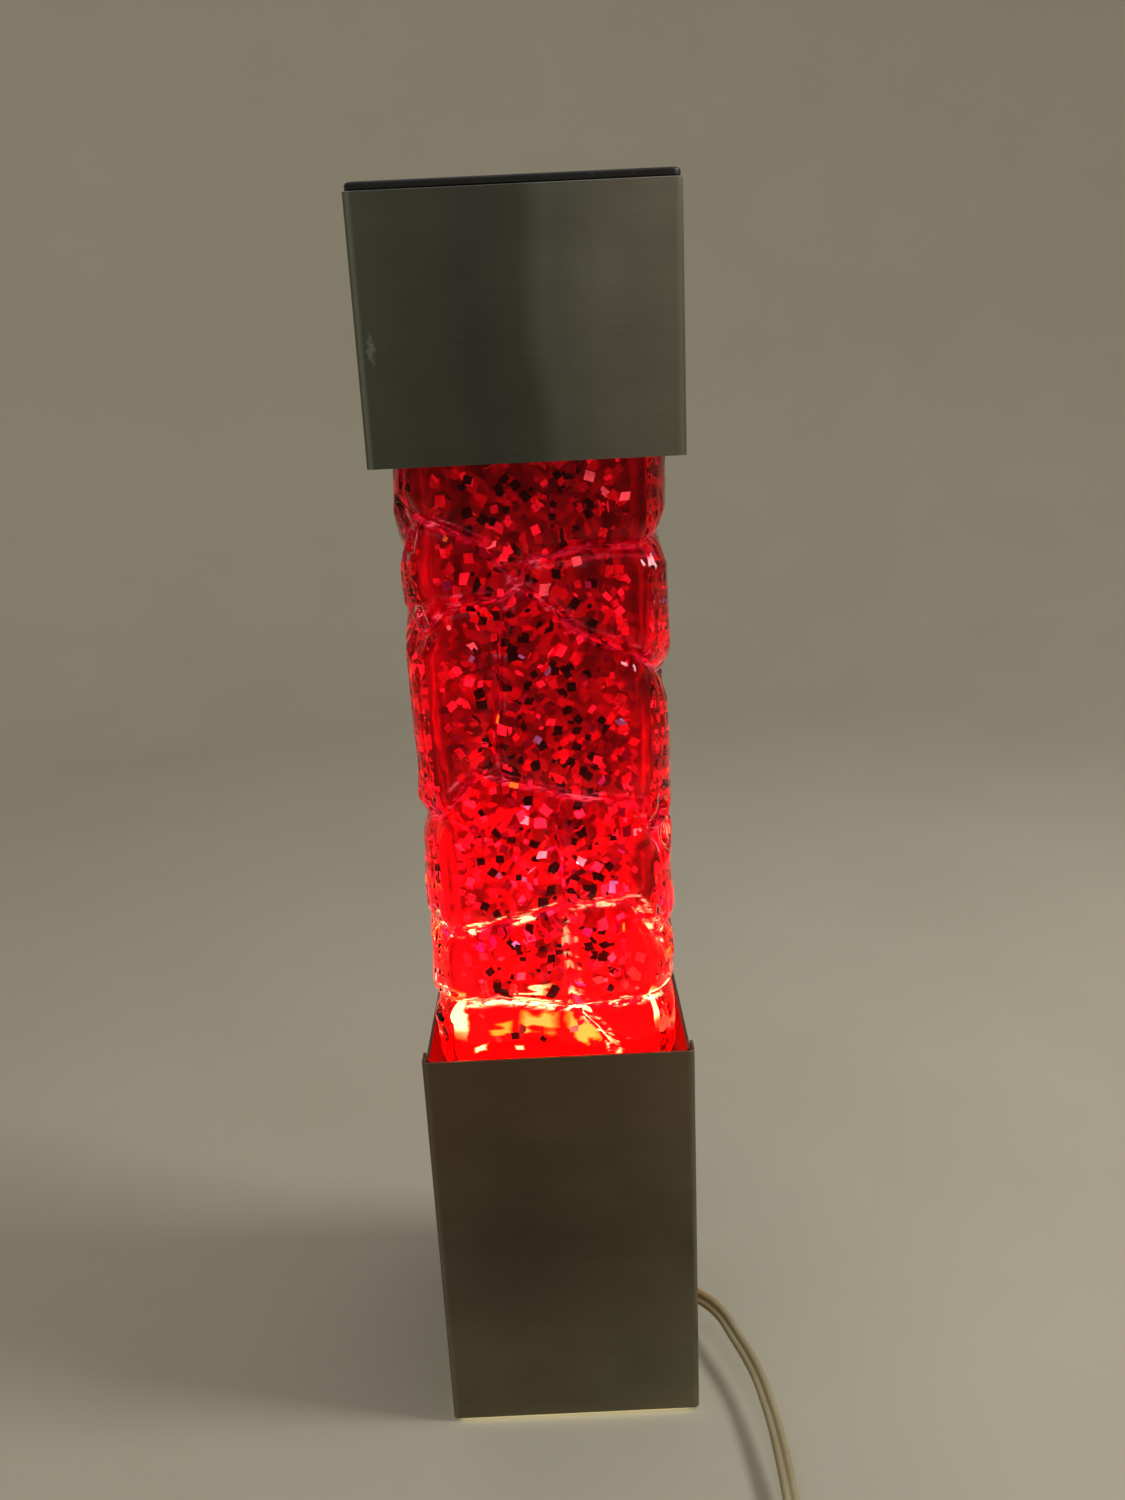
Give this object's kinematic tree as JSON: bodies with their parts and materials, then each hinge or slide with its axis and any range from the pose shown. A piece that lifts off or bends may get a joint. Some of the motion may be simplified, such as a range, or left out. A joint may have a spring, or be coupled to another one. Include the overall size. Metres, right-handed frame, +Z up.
{
  "type": "glitter lamp",
  "caption": "Square table glitter lamp: brushed metal base with bulb, rock-textured glass bottle of red liquid, lift-off metal cap with plug-in lid, flat cord with switch and plug.",
  "frame": {"origin": "middle of the base, on the surface that the feet stand on", "axes": "+Z up along the lamp; the front faces -Y; the cord leaves the base on the +X side"},
  "size_m": [0.1319, 0.2339, 0.4122],
  "materials": {
    "brushed_metal": "brushed, dull olive-grey",
    "black_steel": "satin black",
    "plated_steel": "zinc plated",
    "aluminium": "bare",
    "brass": "bare",
    "tungsten": "wire",
    "rubber": "matt",
    "black_plastic": "satin",
    "phenolic": "moulded",
    "wire_insulation": "smooth",
    "gold_pvc": "translucent",
    "frosted_glass": "frosted, lit",
    "clear_glass": "clear, polished",
    "red_liquid": "clear red liquid, lit from below"
  },
  "bodies": {
    "base": {"base_front_panel": "brushed_metal", "base_rear_panel": "brushed_metal", "base_left_panel": "brushed_metal", "base_right_panel": "brushed_metal", "base_floor_tray": "black_steel", "bottle_deck": "plated_steel", "foot_pad_1": "rubber", "foot_pad_2": "rubber", "foot_pad_3": "rubber", "foot_pad_4": "rubber", "base_rivet_1": "aluminium", "base_rivet_2": "aluminium", "base_rivet_3": "aluminium", "base_rivet_4": "aluminium", "base_rivet_5": "aluminium", "base_rivet_6": "aluminium", "base_rivet_7": "aluminium", "base_rivet_8": "aluminium", "bracket_screw_1": "plated_steel", "holder_screw_1": "plated_steel", "plug_blade_1": "brass", "bracket_screw_2": "plated_steel", "holder_screw_2": "plated_steel", "plug_blade_2": "brass", "lampholder_bracket": "plated_steel", "lampholder_body": "phenolic", "lampholder_shell": "brass", "lampholder_contact": "brass", "live_wire": "wire_insulation", "neutral_wire": "wire_insulation", "cord_grommet": "rubber", "cord_lead": "gold_pvc", "cord_link": "gold_pvc", "cord_tail": "gold_pvc", "cord_coil": "gold_pvc", "coil_tie": "black_plastic", "switch_lower_case": "black_plastic", "switch_upper_case": "black_plastic", "plug_body": "black_plastic"},
    "switch_wheel_body": {"switch_wheel": "black_plastic"},
    "bulb_shell": {"bulb_screw_shell": "aluminium"},
    "bulb": {"bulb_glass": "frosted_glass", "bulb_stem": "clear_glass", "bulb_filament": "tungsten", "bulb_base_tip": "phenolic"},
    "bottle": {"bottle_glass": "clear_glass", "bottle_liquid": "red_liquid", "closure_liner": "rubber", "closure_cap": "aluminium"},
    "cap": {"cap_front_panel": "brushed_metal", "cap_rear_panel": "brushed_metal", "cap_left_panel": "brushed_metal", "cap_right_panel": "brushed_metal", "cap_shelf": "plated_steel", "cap_rivet_1": "aluminium", "cap_rivet_2": "aluminium", "cap_rivet_3": "aluminium", "cap_rivet_4": "aluminium"},
    "lid": {"cap_lid": "black_plastic"}
  },
  "joints": [
    {"name": "bottle_lift", "type": "slide", "parent": "base", "child": "bottle", "axis": [0, 0, 1], "range_m": [0, 0.045]},
    {"name": "cap_lift", "type": "slide", "parent": "bottle", "child": "cap", "axis": [0, 0, 1], "range_m": [0, 0.055]},
    {"name": "lid_lift", "type": "slide", "parent": "cap", "child": "lid", "axis": [0, 0, 1], "range_m": [0, 0.015]},
    {"name": "bulb_lift", "type": "slide", "parent": "base", "child": "bulb_shell", "axis": [0, 0, 1], "range_m": [0, 0.0137]},
    {"name": "bulb_turn", "type": "hinge", "parent": "bulb_shell", "child": "bulb", "pos_m": [0, 0, 0.041], "axis": [0, 0, 1], "range_deg": [0, 1350]},
    {"name": "switch_wheel_turn", "type": "hinge", "parent": "base", "child": "switch_wheel_body", "pos_m": [0.064, -0.129, 0.007], "axis": [0, 0, 1], "continuous": true}
  ],
  "couplings": [
    {"joint": "bulb_lift", "follows": "bulb_turn", "m_per_rad": 0.00057751}
  ]
}
